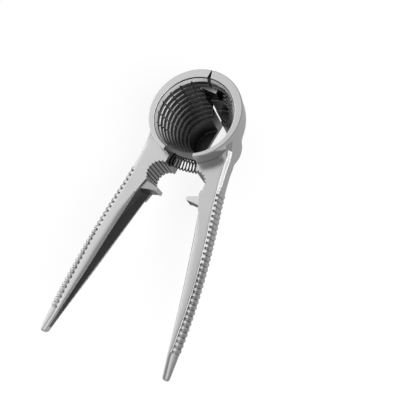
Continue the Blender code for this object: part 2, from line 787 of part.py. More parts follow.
def compression_spring():
    points = spring_points()
    gap = least_gap(points, SPRING_WIRE_RADIUS, SPRING_POINTS_PER_TURN - 2)
    print(f"least gap of the spring to itself: {gap / MM:.2f} mm")
    curve = bpy.data.curves.new("compression_spring", "CURVE")
    curve.dimensions = "3D"
    curve.bevel_depth = SPRING_WIRE_RADIUS
    curve.bevel_resolution = 1
    curve.use_fill_caps = True
    spline = curve.splines.new("POLY")
    spline.points.add(len(points) - 1)
    for slot, place in zip(spline.points, points):
        slot.co = (*place, 1)
    made = bpy.data.objects.new("compression_spring", curve)
    bpy.context.scene.collection.objects.link(made)
    return made


def build():
    clear_scene()
    left_metal = material("left_casting_metal", (0.62, 0.62, 0.63), 0.3)
    right_metal = material("right_casting_metal", (0.6, 0.6, 0.61), 0.3)
    pin_metal = material("pin_metal", (0.5, 0.5, 0.51), 0.35)
    spring_metal = material("spring_metal", (0.32, 0.32, 0.33), 0.35)

    right = plain_half("right_half")
    left = mirrored(right, "left_half")
    split(right, 1)
    split(left, -1)
    add_ears(right)
    add_tongue(left)
    for body, metal in ((left, left_metal), (right, right_metal)):
        bore(body)
        place_on_pivot(body)
        finish_body(body, metal)

    pin = hinge_pin()
    place_on_pivot(pin)
    finish_body(pin, pin_metal)
    spring = compression_spring()
    spring.data.materials.append(spring_metal)


build()
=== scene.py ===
# Nutcracker pliers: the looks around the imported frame. Metres, +Z up, cup mouth up, handles to -Y.
import json
import math

import bmesh
import bpy
from mathutils import Matrix, Vector


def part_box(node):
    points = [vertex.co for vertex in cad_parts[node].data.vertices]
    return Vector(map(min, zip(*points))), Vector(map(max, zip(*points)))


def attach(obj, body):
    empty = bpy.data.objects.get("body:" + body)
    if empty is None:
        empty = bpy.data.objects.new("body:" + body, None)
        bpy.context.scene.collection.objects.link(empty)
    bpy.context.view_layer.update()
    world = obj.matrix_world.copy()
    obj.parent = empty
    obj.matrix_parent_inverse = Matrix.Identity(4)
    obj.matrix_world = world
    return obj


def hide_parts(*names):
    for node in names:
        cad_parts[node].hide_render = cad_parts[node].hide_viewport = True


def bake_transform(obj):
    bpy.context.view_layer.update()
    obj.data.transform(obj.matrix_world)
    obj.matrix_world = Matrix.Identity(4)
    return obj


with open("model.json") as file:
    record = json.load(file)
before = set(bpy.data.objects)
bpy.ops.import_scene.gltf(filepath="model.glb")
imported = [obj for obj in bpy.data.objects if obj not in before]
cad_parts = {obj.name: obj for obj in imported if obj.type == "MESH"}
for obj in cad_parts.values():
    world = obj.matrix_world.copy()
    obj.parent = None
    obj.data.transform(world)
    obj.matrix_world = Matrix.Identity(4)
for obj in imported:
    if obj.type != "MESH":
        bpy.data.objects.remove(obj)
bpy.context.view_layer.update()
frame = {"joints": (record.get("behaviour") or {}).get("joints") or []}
mm = 0.001
hair = 0.001 * mm  # closer than this is the same place
knee = 0.3  # how far in the middle point of a three-point corner lies

# places that the frame gives
pivot = Vector(frame["joints"][0]["pos_m"])
halfLow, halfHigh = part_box("left_half")
rimLevel = halfHigh.z
pivotReach = 25.0 * mm  # from the cup's axis back to the pin
cupY = pivot.y - pivotReach
handleEnd = cupY - halfLow.y
big = 80 * mm  # well past the part, for cutters
print("frame loaded, cup axis at y", round(cupY, 4), "handle end", round(handleEnd, 4))


def level(depth):
    return rimLevel - depth


def reach(distance):
    return cupY - distance


def mix(first, last, share):
    return first + (last - first) * share


def ease(value, start, end):
    share = min(max((value - start) / (end - start), 0), 1)
    return share * share * (3 - 2 * share)


def placed(name, data):
    made = bpy.data.objects.new(name, data)
    bpy.context.scene.collection.objects.link(made)
    return made


# Camera: the photograph's angle, aimed from the middle of the cup's rim
cameraSet = dict(azimuth=-32.98, elevation=64.98, roll=-37.66, distance=0.4,
                 right=0.00293, up=-0.04838, lens=65.48, sensor=36, clipStart=0.01)


def placeCamera(c):
    azimuth, elevation, roll = (math.radians(c[key]) for key in ("azimuth", "elevation", "roll"))
    back = Vector((math.cos(elevation) * math.cos(azimuth), math.cos(elevation) * math.sin(azimuth),
                   math.sin(elevation)))
    flatRight = Vector((0, 0, 1)).cross(back).normalized()
    flatUp = back.cross(flatRight)
    right = math.cos(roll) * flatRight + math.sin(roll) * flatUp
    up = math.cos(roll) * flatUp - math.sin(roll) * flatRight
    data = bpy.data.cameras.new("photoCamera")
    data.lens = c["lens"]
    data.sensor_width = c["sensor"]
    data.clip_start = c["clipStart"]
    made = placed("photoCamera", data)
    rim = Vector((0, cupY, rimLevel))
    turn = Matrix((right, up, back)).transposed().to_4x4()
    turn.translation = c["distance"] * back + c["right"] * right + c["up"] * up + rim
    made.matrix_world = turn
    bpy.context.scene.camera = made


placeCamera(cameraSet)


# Shader groups, shared by the metals

def newGroup(name, inputs, outputs):
    # inputs with their first values, outputs with their kinds
    group = bpy.data.node_groups.new(name, "ShaderNodeTree")
    for label, value in inputs.items():
        kind = "NodeSocketColor" if isinstance(value, tuple) else "NodeSocketFloat"
        group.interface.new_socket(label, in_out="INPUT", socket_type=kind).default_value = value
    for label, kind in outputs.items():
        group.interface.new_socket(label, in_out="OUTPUT", socket_type=kind)
    return group, group.nodes.new("NodeGroupInput"), group.nodes.new("NodeGroupOutput")


def feed(tree, node, values):
    # by input: a fixed value is set, an output is linked
    for label, value in values.items():
        if isinstance(value, (int, float, tuple)):
            node.inputs[label].default_value = value
        else:
            tree.links.new(value, node.inputs[label])


def addNode(tree, kind, values, **settings):
    # settings are the node's own fields, values go to its inputs
    node = tree.nodes.new(kind)
    for setting, value in settings.items():
        setattr(node, setting, value)
    feed(tree, node, values)
    return node


def mathNode(tree, operation, *values):
    return addNode(tree, "ShaderNodeMath", dict(enumerate(values)), operation=operation).outputs[0]


def vectorNode(tree, operation, first, second, secondInput=1):
    node = addNode(tree, "ShaderNodeVectorMath", {0: first, secondInput: second}, operation=operation)
    return node.outputs["Value" if operation == "DOT_PRODUCT" else "Vector"]


def rangeNode(tree, value, fromLow, fromHigh, toLow=0.0, toHigh=1.0):
    node = addNode(tree, "ShaderNodeMapRange", {"Value": value, "From Min": fromLow, "From Max": fromHigh,
                                                "To Min": toLow, "To Max": toHigh})
    return node.outputs["Result"]


def noiseNode(tree, place, scale, detail):
    node = addNode(tree, "ShaderNodeTexNoise", {"Vector": place, "Scale": scale, "Detail": detail,
                                                "Roughness": noiseRoughness})
    return node.outputs["Fac"]


noiseRoughness = 0.55
# how fine the casting's clouding, grain and polishing lines are, per metre
skinSet = dict(cloud=90, grain=2600, lines=(3800, 260, 3800), toneGain=4.0, lineShare=0.8)


def makeCastSkin(s):
    # mottle of a polished casting: slow clouding, fine grain and short polishing lines
    group, given, put = newGroup(
        "castSkin",
        {"Tone": (0.6, 0.6, 0.6, 1), "Tone spread": 0.05, "Roughness": 0.3, "Roughness spread": 0.06,
         "Grain": 0.3, "Lines": 0.3},
        {"Color": "NodeSocketColor", "Roughness": "NodeSocketFloat", "Height": "NodeSocketFloat"})
    place = addNode(group, "ShaderNodeTexCoord", {}).outputs["Object"]
    cloud = noiseNode(group, place, s["cloud"], 2.0)
    fine = noiseNode(group, place, s["grain"], 2.0)
    lines = noiseNode(group, vectorNode(group, "MULTIPLY", place, s["lines"]), 1.0, 1.0)
    clouded = mathNode(group, "SUBTRACT", cloud, 0.5)
    shift = mathNode(group, "MULTIPLY", clouded, given.outputs["Tone spread"])
    brightness = mathNode(group, "ADD", 1.0, mathNode(group, "MULTIPLY", shift, s["toneGain"]))
    tinted = vectorNode(group, "SCALE", given.outputs["Tone"], brightness, "Scale")
    streaked = mathNode(group, "MULTIPLY", mathNode(group, "SUBTRACT", lines, 0.5), s["lineShare"])
    both = mathNode(group, "ADD", clouded, streaked)
    rough = mathNode(group, "MULTIPLY_ADD", both, given.outputs["Roughness spread"],
                     given.outputs["Roughness"])
    grain = mathNode(group, "MULTIPLY", fine, given.outputs["Grain"])
    high = mathNode(group, "MULTIPLY_ADD", lines, given.outputs["Lines"], grain)
    feed(group, put, {"Color": tinted, "Roughness": rough, "Height": high})
    return group


# each from no mask to a full one: likeness of the plain and the rounded normal, openness of a place
edgeRange = (0.97, 0.8)
shadeAndGrimeRange = (0.85, 0.3)
maskSamples = 6


def makeEdgeMask():
    # 1 on sharp edges, 0 on flat stretches; the metals lighten there, partly wear and partly painted
    # highlight
    group, given, put = newGroup("edgeWearAndHighlight", {"Width": 0.2 * mm, "Strength": 0.5},
                                 {"Mask": "NodeSocketFloat", "Normal": "NodeSocketVector"})
    rounded = addNode(group, "ShaderNodeBevel", {"Radius": given.outputs["Width"]}, samples=maskSamples)
    plain = addNode(group, "ShaderNodeNewGeometry", {})
    alike = vectorNode(group, "DOT_PRODUCT", rounded.outputs["Normal"], plain.outputs["Normal"])
    mask = mathNode(group, "MULTIPLY", rangeNode(group, alike, *edgeRange), given.outputs["Strength"])
    feed(group, put, {"Mask": mask, "Normal": rounded.outputs["Normal"]})
    return group


def makeShadeAndGrime():
    # 1 in crevices and deep hollows, where the metals take painted shade with some grime
    group, given, put = newGroup("shadeAndGrime", {"Reach": mm, "Strength": 0.5}, {"Mask": "NodeSocketFloat"})
    hollow = addNode(group, "ShaderNodeAmbientOcclusion", {"Distance": given.outputs["Reach"]},
                     samples=maskSamples)
    shut = rangeNode(group, hollow.outputs["AO"], *shadeAndGrimeRange)
    feed(group, put, {"Mask": mathNode(group, "MULTIPLY", shut, given.outputs["Strength"])})
    return group


# where light is painted on the cup's ledges: none in its middle, all at its sides, more toward the rim
ledgeLightSet = dict(middle=13 * mm, side=20.5 * mm, low=level(30 * mm), high=level(6 * mm), dimmest=0.3,
                steep=0.5, flat=0.85)


def makeLedgeLight(s):
    # 1 on faces above a level that look up, and a share of that on the walls between them: where the painted
    # light goes
    group, given, put = newGroup("ledgeLight", {"Lowest": 0.0, "Strength": 0.0, "Walls": 0.0},
                                 {"Mask": "NodeSocketFloat"})
    coords = addNode(group, "ShaderNodeTexCoord", {})
    plain = addNode(group, "ShaderNodeNewGeometry", {})
    place = addNode(group, "ShaderNodeSeparateXYZ", {0: coords.outputs["Object"]})
    turn = addNode(group, "ShaderNodeSeparateXYZ", {0: plain.outputs["True Normal"]})
    above = mathNode(group, "GREATER_THAN", place.outputs["Z"], given.outputs["Lowest"])
    aside = rangeNode(group, mathNode(group, "ABSOLUTE", place.outputs["X"]), s["middle"], s["side"])
    high = rangeNode(group, place.outputs["Z"], s["low"], s["high"], s["dimmest"])
    upward = rangeNode(group, turn.outputs["Z"], s["steep"], s["flat"])
    mask = mathNode(group, "MAXIMUM", upward, given.outputs["Walls"])
    for factor in (above, aside, high, given.outputs["Strength"]):
        mask = mathNode(group, "MULTIPLY", mask, factor)
    feed(group, put, {"Mask": mask})
    return group


castSkin = makeCastSkin(skinSet)
edgeWearAndHighlight = makeEdgeMask()
shadeAndGrime = makeShadeAndGrime()
ledgeLight = makeLedgeLight(ledgeLightSet)

# Metals: what each surface has of its own over the plain metal; reaches and widths in mm,
# and greys that edges (wear and painted highlight), hollows (painted shade and grime) and the cup's ledges
# (painted light) blend toward
plainMetal = dict(metallic=1.0, spread=0.05, rough=0.3, roughSpread=0.08, grain=0.3, lines=0.3, bump=0.05,
                  edge=0.6, edgeWidth=0.2, edgeStrength=0.5, shadeAndDirt=0.03, shadeAndDirtReach=0.8, shadeAndDirtStrength=0.4)
metalSets = {
    "polishedCasting": dict(tone=(0.57, 0.57, 0.575), spread=0.02, rough=0.25, roughSpread=0.06,
                            grain=0.12, lines=0.25, edge=0.8, edgeWidth=0.22, shadeAndDirt=0.1,
                            shadeAndDirtReach=1.1, shadeAndDirtStrength=0.8),
    # painted shade between the ribs
    "ribGrooveShade": dict(tone=(0.24, 0.24, 0.24), spread=0.04, rough=0.35, grain=0.4, lines=0.25,
                      edgeWidth=0.15, edgeStrength=0.3, shadeAndDirtStrength=0.95),
    # inside of the handle's channel, painted dark as shade
    "shadedChannel": dict(tone=(0.085, 0.085, 0.087), metallic=0.5, spread=0.06, rough=0.36,
                           roughSpread=0.1, grain=0.7, lines=0.1, bump=0.1, edgeStrength=0.6,
                           shadeAndDirtReach=3.0),
    # painted highlight along the cove
    "coveHighlight": dict(tone=(0.66, 0.66, 0.66), metallic=0.1, spread=0.01, rough=0.2,
                       roughSpread=0.05, grain=0.1, lines=0.1, bump=0.03, edge=1.0, shadeAndDirt=0.8,
                       shadeAndDirtReach=0.5, shadeAndDirtStrength=0.2),
    # lit copy of the casting: painted light on the ring under the mouth and on the first ribs' crests
    "litCasting": dict(tone=(0.66, 0.66, 0.66), metallic=0.35, spread=0.03, edge=0.9, shadeAndDirt=0.3),
    # the cup's inside and the hinge faces: rougher as-cast skin, its colour painted dark as shade
    "shadedCasting": dict(tone=(0.11, 0.11, 0.112), spread=0.06, rough=0.34, roughSpread=0.1,
                        grain=0.8, lines=0.1, bump=0.12, edge=0.85, edgeWidth=0.3,
                        edgeStrength=0.9, shadeAndDirt=0.02, shadeAndDirtReach=5.0, shadeAndDirtStrength=0.7,
                        ledgeLight=0.9, ledgeLightStrength=0.95, ledgeLightLowest=level(34 * mm),
                        ledgeLightMatt=0.9, wallShare=0.15),
    # split faces and the jaw's upright sides: the casting painted darker as shade
    "shadedSideCasting": dict(tone=(0.33, 0.33, 0.335), rough=0.33, grain=0.4, lines=0.5, bump=0.1,
                       edge=0.5, edgeWidth=0.18, edgeStrength=0.4, shadeAndDirtReach=1.2,
                       shadeAndDirtStrength=0.9),
    "springWire": dict(tone=(0.1, 0.1, 0.103), roughSpread=0.06, grain=0.2, edgeWidth=0.08,
                       edgeStrength=0.3, shadeAndDirtReach=1.5, shadeAndDirtStrength=0.6),
    "pinSteel": dict(tone=(0.5, 0.5, 0.51), spread=0.04, edge=0.75, edgeWidth=0.15, shadeAndDirt=0.08,
                     shadeAndDirtReach=1.5, shadeAndDirtStrength=0.5),
}
bumpHeight = 0.05 * mm


def blendGrey(tree, factor, first, grey):
    # inputs 6 and 7 and output 2 of a Mix node are its colours
    node = addNode(tree, "ShaderNodeMix", {"Factor": factor, 6: first, 7: (grey, grey, grey, 1)},
                   data_type="RGBA")
    return node.outputs[2]


def groupNode(tree, group, values):
    return addNode(tree, "ShaderNodeGroup", values, node_tree=group)


def makeMetal(name, m):
    made = bpy.data.materials.new(name)
    made.use_nodes = True
    tree = made.node_tree
    shader = tree.nodes["Principled BSDF"]
    shader.inputs["Metallic"].default_value = m["metallic"]
    skin = groupNode(tree, castSkin, {
        "Tone": (*m["tone"], 1), "Tone spread": m["spread"], "Roughness": m["rough"],
        "Roughness spread": m["roughSpread"], "Grain": m["grain"], "Lines": m["lines"]})
    shadeAndDirt = groupNode(tree, shadeAndGrime, {"Reach": m["shadeAndDirtReach"] * mm, "Strength": m["shadeAndDirtStrength"]})
    edge = groupNode(tree, edgeWearAndHighlight, {"Width": m["edgeWidth"] * mm, "Strength": m["edgeStrength"]})
    # hollows blend toward a grey: painted shade, with some grime
    colour = blendGrey(tree, shadeAndDirt.outputs["Mask"], skin.outputs["Color"], m["shadeAndDirt"])
    # painted light on the cup's ledges: a lighter grey and less metal, so they catch the lamps
    if "ledgeLight" in m:
        litLedges = groupNode(tree, ledgeLight, {"Lowest": m["ledgeLightLowest"], "Strength": m["ledgeLightStrength"],
                                       "Walls": m["wallShare"]})
        colour = blendGrey(tree, litLedges.outputs["Mask"], colour, m["ledgeLight"])
        matt = mathNode(tree, "MULTIPLY_ADD", litLedges.outputs["Mask"], -m["ledgeLightMatt"], 1.0)
        tree.links.new(matt, shader.inputs["Metallic"])
    bump = addNode(tree, "ShaderNodeBump", {
        "Strength": m["bump"], "Distance": bumpHeight, "Height": skin.outputs["Height"],
        "Normal": edge.outputs["Normal"]})
    # edges blend toward a lighter grey: wear and painted highlight
    feed(tree, shader, {"Base Color": blendGrey(tree, edge.outputs["Mask"], colour, m["edge"]),
                        "Roughness": skin.outputs["Roughness"], "Normal": bump.outputs["Normal"]})
    return made


metals = {name: makeMetal(name, {**plainMetal, **values}) for name, values in metalSets.items()}
print("metals made:", ", ".join(metals))


# Mesh helpers

def placedMesh(meshData, name, materials):
    mesh = bpy.data.meshes.new(name)
    meshData.to_mesh(mesh)
    meshData.free()
    for material in materials:
        mesh.materials.append(material)
    return placed(name, mesh)


def objectFrom(meshData, name, metal):
    bmesh.ops.recalc_face_normals(meshData, faces=meshData.faces)
    return placedMesh(meshData, name, [metals[metal]])


def bridge(meshData, rings):
    # faces between neighbouring rings, of which one may be a single point
    for lower, upper in zip(rings, rings[1:]):
        count = max(len(lower), len(upper))
        for index in range(count):
            after = (index + 1) % count
            corners = (lower[index % len(lower)], lower[after % len(lower)],
                       upper[after % len(upper)], upper[index % len(upper)])
            meshData.faces.new(tuple(dict.fromkeys(corners)))


def skinOver(sections, name, metal):
    # closed rings of points, one after the other, with both ends capped
    meshData = bmesh.new()
    rings = [[meshData.verts.new(point) for point in section] for section in sections]
    bridge(meshData, rings)
    meshData.faces.new(rings[0])
    meshData.faces.new(rings[-1])
    return objectFrom(meshData, name, metal)


def evenRing(radius, high, segments):
    return [(2 * math.pi * (index + 0.5) / segments, radius) for index in range(segments)]


def turned(profile, centre, name, metal, segments, ringOf=evenRing):
    # profile of (radius, level) about an upright axis whose place may drift with the level
    meshData = bmesh.new()
    rings = []
    distinct = [profile[0]]
    for place in profile[1:]:
        if math.dist(place, distinct[-1]) > hair:
            distinct.append(place)
    for radius, high in distinct:
        axisX, axisY = centre(high)
        if radius == 0:
            rings.append([meshData.verts.new((axisX, axisY, high))])
            continue
        rings.append([meshData.verts.new((axisX + out * math.cos(angle), axisY + out * math.sin(angle), high))
                      for angle, out in ringOf(radius, high, segments)])
    bridge(meshData, rings)
    return objectFrom(meshData, name, metal)


def slab(outline, low, high, name, metal):
    return skinOver([[(x, y, low) for x, y in outline], [(x, y, high) for x, y in outline]], name, metal)


def paintFaces(piece, metal, chosen):
    # faces that chosen() picks take another metal
    piece.data.materials.append(metals[metal])
    last = len(piece.data.materials) - 1
    for face in piece.data.polygons:
        if chosen(face):
            face.material_index = last
    return piece


def combine(body, tool, operation):
    modifier = body.modifiers.new(operation, "BOOLEAN")
    modifier.operation = operation
    modifier.object = tool
    modifier.solver = "EXACT"
    modifier.material_mode = "TRANSFER"
    graph = bpy.context.evaluated_depsgraph_get()
    result = bpy.data.meshes.new_from_object(body.evaluated_get(graph))
    body.modifiers.clear()
    body.data = result
    bpy.data.objects.remove(tool, do_unlink=True)


def join(body, tool):
    combine(body, tool, "UNION")


def cut(body, tool):
    combine(body, tool, "DIFFERENCE")


def mirrored(source, name):
    meshData = bmesh.new()
    meshData.from_mesh(source.data)
    bmesh.ops.transform(meshData, matrix=Matrix.Scale(-1, 4, (1, 0, 0)), verts=meshData.verts)
    bmesh.ops.reverse_faces(meshData, faces=meshData.faces)
    return placedMesh(meshData, name, source.data.materials)


def curvePoints(parts, count):
    # start, two pulls and end of one smooth curve
    points = []
    for index in range(count + 1):
        t = index / count
        weights = ((1 - t) ** 3, 3 * t * (1 - t) ** 2, 3 * t * t * (1 - t), t ** 3)
        points.append(tuple(sum(w * part[axis] for w, part in zip(weights, parts)) for axis in (0, 1)))
    return points


def cornerPoints(centre, radius, startDegrees, endDegrees, count):
    points = []
    for index in range(count + 1):
        angle = math.radians(mix(startDegrees, endDegrees, index / count))
        points.append((centre[0] + radius * math.cos(angle), centre[1] + radius * math.sin(angle)))
    return points


# Cup: sizes from its axis and down from its rim
cup = dict(rimRadius=26.8 * mm, rimDepth=3.0 * mm, rimRounding=0.6 * mm, overhang=0.5 * mm,
           sideDepth=10.0 * mm, baseRadius=16.0 * mm, baseDepth=45.0 * mm, baseChamfer=0.8 * mm,
           floor=2.5 * mm, mouthRadius=23.0 * mm, mouthOffset=1.5 * mm, wellOffset=0.6 * mm,
           lip=0.3 * mm, mouthDepth=2.4 * mm, stepTop=3.2 * mm, stepTopRadius=22.0 * mm,
           stepBottom=34.2 * mm, bulge=0.9 * mm, steps=9, draft=0.2 * mm, wellRadius=12.3 * mm,
           wellDraft=0.3 * mm, wellRim=0.25 * mm, segments=144, swell=0.34, underRim=0.2 * mm,
           ledgeSoft=0.12 * mm, grooves=6, grooveFirst=-24.5, grooveSpacing=17.4,
           grooveWidth=0.9 * mm, grooveDepth=0.8 * mm, grooveLip=0.004)
sideRadius = cup["rimRadius"] - cup["overhang"]


def cupEnvelope(c):
    swell = (c["baseDepth"] - c["sideDepth"]) * c["swell"]
    rounding, under, chamfer = c["rimRounding"], c["underRim"], c["baseChamfer"]
    half = rounding / 2
    profile = [(0, 0)]
    profile += cornerPoints((c["rimRadius"] - rounding, rounding), rounding, -90, 0, 6)
    profile += cornerPoints((c["rimRadius"] - half, c["rimDepth"] - half), half, 0, 90, 3)
    profile += cornerPoints((sideRadius + under, c["rimDepth"] + under), under, -90, -180, 3)
    profile += curvePoints(((sideRadius, c["sideDepth"]), (sideRadius, c["sideDepth"] + swell),
                            (c["baseRadius"], c["baseDepth"] - swell), (c["baseRadius"], c["baseDepth"])), 28)
    profile += cornerPoints((c["baseRadius"] - chamfer, rimLevel - chamfer), chamfer, 0, 90, 5)
    profile.append((0, rimLevel))
    return turned([(radius, level(depth)) for radius, depth in profile], lambda high: (0, cupY),
                  "cupEnvelope", "polishedCasting", c["segments"])


def insideCentre(high):
    share = min(max((rimLevel - high) / rimLevel, 0), 1)
    return 0, reach(mix(cup["mouthOffset"], cup["wellOffset"], share))


def stepRadius(index):
    share = index / cup["steps"]
    return mix(cup["stepTopRadius"], cup["wellRadius"], share) + cup["bulge"] * 4 * share * (1 - share)


def stepDepth(index):
    return mix(cup["stepTop"], cup["stepBottom"], index / cup["steps"])


def grooveReach(c, depth):
    # radius of the grooves' floors, which drop in straight runs from step to step
    place = c["steps"] * (depth - c["stepTop"]) / (c["stepBottom"] - c["stepTop"])
    index = min(int(place), c["steps"] - 1)
    ends = [stepRadius(end) + c["grooveDepth"] * (1 - end / c["steps"]) for end in (index, index + 1)]
    return mix(ends[0], ends[1], place - index)


def groovedRing(radius, high, segments):
    # even ring with the grooves that cut the steps into blocks
    c = cup
    depth = rimLevel - high
    deep = radius
    if c["stepTop"] - hair < depth < c["stepBottom"] - hair:
        deep = max(radius, grooveReach(c, depth))
    half = c["grooveWidth"] / 2 / max(radius, c["wellRadius"])
    lip = c["grooveLip"]
    keepOff = c["grooveWidth"] / 2 / c["wellRadius"] + 3 * lip
    angles = [math.radians(c["grooveFirst"] + number * c["grooveSpacing"]) % (2 * math.pi)
              for number in range(c["grooves"])]
    ring = [(angle, out) for angle, out in evenRing(radius, high, segments)
            if min(abs(math.remainder(angle - groove, 2 * math.pi)) for groove in angles) > keepOff]
    for angle in angles:
        ring += [(angle - half - lip, radius), (angle - half, deep), (angle + half, deep),
                 (angle + half + lip, radius)]
    return sorted(ring)


def cupInside(c):
    # each step: a riser with a little draft, then a ledge whose lip is softened
    soft, above = c["ledgeSoft"], mm
    lip, mouth = c["lip"], c["mouthRadius"] + c["lip"]
    profile = [(0, -above), (mouth, -above), (mouth, 0)]
    profile += cornerPoints((mouth, lip), lip, -90, -180, 4)
    profile += [(c["mouthRadius"] - 0.3 * lip, 3 * lip),
                (c["stepTopRadius"] + c["draft"], c["mouthDepth"]), (c["stepTopRadius"], c["stepTop"])]
    for index in range(c["steps"]):
        if index:
            profile.append((stepRadius(index) + soft, stepDepth(index)))
            profile.append((stepRadius(index) + knee * soft, stepDepth(index) + knee * soft))
            profile.append((stepRadius(index), stepDepth(index) + soft))
        profile.append((stepRadius(index) - c["draft"] * (min(index, 1) + 0.5), stepDepth(index + 1)))
    rim = c["wellRim"]
    profile += cornerPoints((c["wellRadius"] + rim, c["stepBottom"] + rim), rim, -90, -180, 3)
    profile += [(c["wellRadius"] - c["wellDraft"], rimLevel - c["floor"]), (0, rimLevel - c["floor"])]
    # the inside takes the casting copy painted dark as shade
    made = turned([(radius, level(depth)) for radius, depth in profile], insideCentre, "cupInside",
                  "shadedCasting", c["segments"], groovedRing)
    # the ring just under the mouth is painted light
    ringLow, ringHigh = level(c["stepTop"] + 0.1 * mm), level(3 * lip)
    return paintFaces(made, "litCasting", lambda face: ringLow < face.center.z < ringHigh)


# Handle: flat front, cove, rounded ribbed outer side, back that tapers in
handle = dict(front=10.0 * mm, root=46.0 * mm, innerRoot=18.9 * mm, innerEnd=35.6 * mm,
              innerBow=1.2 * mm, outerRoot=29.6 * mm, outerEnd=39.3 * mm, outerBow=2.5 * mm,
              rise=1.5 * mm, riseFrom=0.65, deepRoot=18.6 * mm, deepEnd=4.2 * mm, deepBow=2.6 * mm,
              widest=0.36, backSlope=0.45, backLeast=0.45, sideRoot=3.2 * mm, sideEnd=4.6 * mm,
              sideShare=0.72, coveWidth=1.6 * mm, coveRoot=2.2 * mm, coveFrom=30 * mm,
              coveTo=44 * mm, coveDepth=1.0 * mm, coveLip=0.72, nose=1.6 * mm, edge=0.4 * mm,
              roll=3.0 * mm, rollFrom=48 * mm, rollTo=66 * mm, crown=0.13 * mm, faceSoft=0.3 * mm,
              setback=1.5 * mm, shoulderStart=4.0 * mm, shoulderTurn=7.0 * mm,
              shoulderEnd=19.0 * mm, shoulderTop=4.4 * mm, shoulderOuter=26.9 * mm,
              shoulderRun=20.0 * mm, shoulderSoft=0.1 * mm, shoulderCove=(6, 32),
              shoulderBead=(38, 90), waist=1.5, thinning=0.7, noseShape=0.6, noseTip=87,
              ribStart=36.5 * mm, ribPitch=2.95 * mm, ribs=30, ribHeight=0.45 * mm)
# the most that a part takes of its section where the handle is thin
most = dict(cove=0.5, coveDepth=0.14, roll=0.5, drop=0.2, crown=0.06, soft=0.1, corner=0.1, edge=0.2)
# how a rib fills the cove and stands out from the bead; along its pitch it is up from rise to fall
rib = dict(cove=0.4, lip=0.35, side=1.3, front=0.5, back=0.6, rise=0.16, fall=0.56, foot=0.72,
           sections=(0, 0.05, 0.11, 0.16, 0.36, 0.56, 0.61, 0.67, 0.72, 0.86))
coveCount, beadCount, roundCount, crownCount = 6, 8, 7, 6


def handleShare(distance):
    return min(max((distance - handle["root"]) / (handleEnd - handle["root"]), 0), 1)


def innerEdge(distance):
    share = handleShare(distance)
    return mix(handle["innerRoot"], handle["innerEnd"], share) - handle["innerBow"] * 4 * share * (1 - share)


def cupSide(distance):
    return math.sqrt(max(sideRadius ** 2 - distance ** 2, 0))


def outerEdge(distance):
    h = handle
    if distance < h["shoulderRun"]:
        start = cupSide(distance) - 4 * cup["overhang"]
        return mix(start, h["shoulderOuter"], ease(distance, -2 * h["shoulderStart"], 2 * h["shoulderStart"]))
    if distance < h["root"]:
        share = (distance - h["shoulderRun"]) / (h["root"] - h["shoulderRun"])
        return mix(h["shoulderOuter"], h["outerRoot"], share ** h["waist"])
    share = handleShare(distance)
    return mix(h["outerRoot"], h["outerEnd"], share) + h["outerBow"] * 4 * share * (1 - share)


def sideWidth(distance):
    width = mix(handle["sideRoot"], handle["sideEnd"], handleShare(distance))
    return min(width, handle["sideShare"] * (outerEdge(distance) - innerEdge(distance)))


def frontDepth(distance):
    return handle["front"] - handle["rise"] * ease(distance, handle["riseFrom"] * handleEnd, handleEnd)


def thickness(distance):
    h = handle
    share = handleShare(distance)
    full = mix(h["deepRoot"], h["deepEnd"], share) - h["deepBow"] * 4 * share * (1 - share)
    return full * mix(h["thinning"], 1, ease(distance, -h["shoulderStart"], h["shoulderRun"]))


roundAngles = [math.pi / 2 * index / (roundCount - 1) for index in range(roundCount)]
crownShares = [(index + 1) / (crownCount + 1) for index in range(crownCount)]


def shoulderPlaces(distance, widest):
    # front of a section that still lies against the side of the cup
    outer = outerEdge(distance)
    side = min(cupSide(distance), outer) - 2 * cup["overhang"]
    top, soft = handle["shoulderTop"], handle["shoulderSoft"]
    inner = innerEdge(distance)
    places = [(inner + soft * (1 - math.cos(angle)), top + soft * (1 - math.sin(angle)))
              for angle in roundAngles]
    places += [(mix(inner + soft, side - soft, share), top) for share in crownShares]
    places += [(side - soft, top), (side, top)]
    angles = [mix(*handle["shoulderCove"], index / (coveCount - 1)) for index in range(coveCount)]
    angles += [mix(*handle["shoulderBead"], index / (beadCount - 1)) for index in range(beadCount)]
    for degrees in angles:
        angle = math.radians(degrees)
        places.append((mix(side, outer, math.sin(angle)), mix(top, widest, 1 - math.cos(angle))))
    return places


def coveWidth(distance):
    return mix(handle["coveRoot"], handle["coveWidth"], ease(distance, handle["coveFrom"], handle["coveTo"]))


def frontPlaces(distance, inner, outer, side, front, deep, widest, raised, scale):
    # flat face with a softened inner edge, hollow cove, rounded bead
    h = handle
    face = outer - side
    cove = min(coveWidth(distance), side * most["cove"])
    bead = side - cove
    low = min(h["coveDepth"], deep * most["coveDepth"])
    filled = raised / h["ribHeight"]
    begun = ease(distance, h["rollFrom"], h["rollTo"])
    roll = mix(h["edge"] * scale, min(h["roll"] * scale, most["roll"] * (face - inner)), begun)
    drop = min(roll / 2, most["drop"] * deep)
    crown = min(h["crown"], most["crown"] * (face - inner)) * scale * begun
    deepest = low * (1 - rib["cove"] * filled)
    lip = low * (h["coveLip"] - rib["lip"] * filled)
    soft = min(h["faceSoft"] * scale, most["soft"] * (face - inner))
    places = [(inner + roll * (1 - math.cos(angle)), front + drop * (1 - math.sin(angle)))
              for angle in roundAngles]
    places += [(mix(inner + roll, face - soft, share), front + crown * share ** 2) for share in crownShares]
    places += [(face - soft, front + crown), (face, front + crown + 0.3 * soft)]
    for index in range(1, coveCount + 1):
        t = index / coveCount
        depth = deepest * math.sin(math.pi * t) if t < 0.5 else mix(deepest, lip, ease(t, 0.5, 1))
        places.append((face + cove * t, front + max(depth, crown * (1 - t) + 0.3 * soft * (1 - t))))
    for index in range(1, beadCount + 1):
        angle = math.pi / 2 * index / beadCount
        across = face + cove + bead * math.sin(angle) + raised * min(1, rib["side"] * math.sin(angle))
        depth = mix(front + lip, widest, 1 - math.cos(angle)) - raised * rib["front"] * math.cos(angle)
        places.append((across, depth))
    return places


